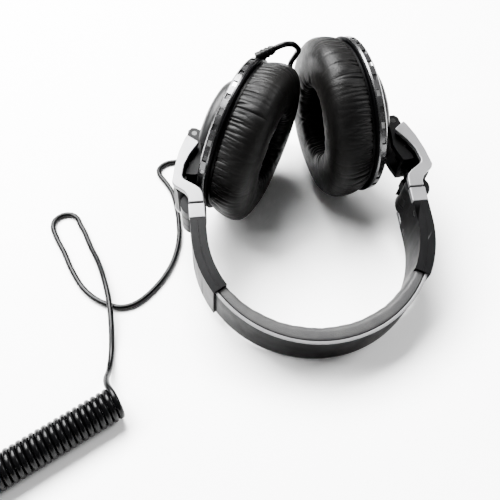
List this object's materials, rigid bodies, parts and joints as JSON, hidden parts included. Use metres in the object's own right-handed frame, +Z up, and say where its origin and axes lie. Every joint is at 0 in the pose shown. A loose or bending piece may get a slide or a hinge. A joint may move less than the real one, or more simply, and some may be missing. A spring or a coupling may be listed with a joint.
{
  "type": "folding headphones",
  "caption": "Folding over-ear headphones with sliding arms, swivelling pleated ear cups, a padded spring headband and a coiled cord ending in a jack plug.",
  "frame": {"origin": "centre of the bottom of the box of the headphones without the cord", "axes": "+Z up, +Y from the crown of the headband towards the ear cups, +X towards the cup that has no cord"},
  "size_m": [0.3168, 0.31, 0.0953],
  "materials": {
    "silver": "satin silver paint",
    "black_satin": "satin",
    "black_gloss": "gloss",
    "black_steel": "black oxide, satin",
    "ring_metal": "polished dark metal with bright notches",
    "dome_grey": "fine satin",
    "pad_leather": "soft, pleated",
    "band_leather": "soft, grained",
    "steel": "satin",
    "cord_rubber": "gloss",
    "gold": "polished",
    "film": "thin clear film"
  },
  "bodies": {
    "headband": {"headband_spring": "steel", "headband_frame": "black_gloss", "headband_cover": "black_gloss", "headband_trims": "silver", "headband_pad": "band_leather"},
    "left_slider": {"left_slider_outer_shell": "black_satin", "left_slider_inner_shell": "black_satin", "left_slider_screws": "black_steel", "left_hinge_block": "black_satin", "left_hinge_caps": "silver", "left_fold_pin": "steel"},
    "left_arm": {"left_arm_core": "black_satin", "left_arm_plates": "silver", "left_swivel_pin": "steel"},
    "left_yoke": {"left_swivel_yoke": "black_satin", "left_tilt_pin": "black_steel", "cord_lead": "cord_rubber", "cord_coil": "cord_rubber", "cord_tail": "cord_rubber", "plug_sleeve": "black_satin", "plug_body": "gold"},
    "left_cup": {"left_cup_bracket": "black_satin", "left_cup_dome": "dome_grey", "left_cup_housing": "black_gloss", "left_cup_ring": "ring_metal", "left_baffle": "black_satin", "left_driver_frame": "black_satin", "left_driver_magnet": "steel", "left_diaphragm": "film", "left_driver_grille": "black_satin", "left_pad_ring": "black_satin", "left_ear_pad": "pad_leather", "strain_relief": "cord_rubber"},
    "right_slider": {"right_slider_outer_shell": "black_satin", "right_slider_inner_shell": "black_satin", "right_slider_screws": "black_steel", "right_hinge_block": "black_satin", "right_hinge_caps": "silver", "right_fold_pin": "steel"},
    "right_arm": {"right_arm_core": "black_satin", "right_arm_plates": "silver", "right_swivel_pin": "steel"},
    "right_yoke": {"right_swivel_yoke": "black_satin", "right_tilt_pin": "black_steel"},
    "right_cup": {"right_cup_bracket": "black_satin", "right_cup_dome": "dome_grey", "right_cup_housing": "black_gloss", "right_cup_ring": "ring_metal", "right_baffle": "black_satin", "right_driver_frame": "black_satin", "right_driver_magnet": "steel", "right_diaphragm": "film", "right_driver_grille": "black_satin", "right_pad_ring": "black_satin", "right_ear_pad": "pad_leather"}
  },
  "joints": [
    {"name": "left_slider_adjust", "type": "slide", "parent": "headband", "child": "left_slider", "axis": [-0.1734, 0.9518, 0.2529], "range_m": [0, 0.02]},
    {"name": "left_fold", "type": "hinge", "parent": "left_slider", "child": "left_arm", "pos_m": [-0.06241, -0.00958, 0.03775], "axis": [0.0523, -0.2475, 0.9675], "range_deg": [0, 6]},
    {"name": "left_swivel", "type": "hinge", "parent": "left_arm", "child": "left_yoke", "pos_m": [-0.06231, 0.01125, 0.04307], "axis": [0.2076, 0.9503, 0.2319], "range_deg": [-2, 2]},
    {"name": "left_tilt", "type": "hinge", "parent": "left_yoke", "child": "left_cup", "pos_m": [-0.05842, 0.03552, 0.04907], "axis": [0.0523, -0.2475, 0.9675], "range_deg": [0, 40], "deforming": ["cord_lead"]},
    {"name": "right_slider_adjust", "type": "slide", "parent": "headband", "child": "right_slider", "axis": [0.1734, 0.9563, 0.2353], "range_m": [0, 0.02]},
    {"name": "right_fold", "type": "hinge", "parent": "right_slider", "child": "right_arm", "pos_m": [0.06241, -0.00796, 0.03141], "axis": [0.0523, -0.2475, 0.9675], "range_deg": [-18, 0]},
    {"name": "right_swivel", "type": "hinge", "parent": "right_arm", "child": "right_yoke", "pos_m": [0.06231, 0.01287, 0.03674], "axis": [-0.2076, 0.9449, 0.253], "range_deg": [-5, 1.5]},
    {"name": "right_tilt", "type": "hinge", "parent": "right_yoke", "child": "right_cup", "pos_m": [0.05842, 0.03704, 0.04314], "axis": [0.0523, -0.2475, 0.9675], "range_deg": [-40, 0]}
  ]
}
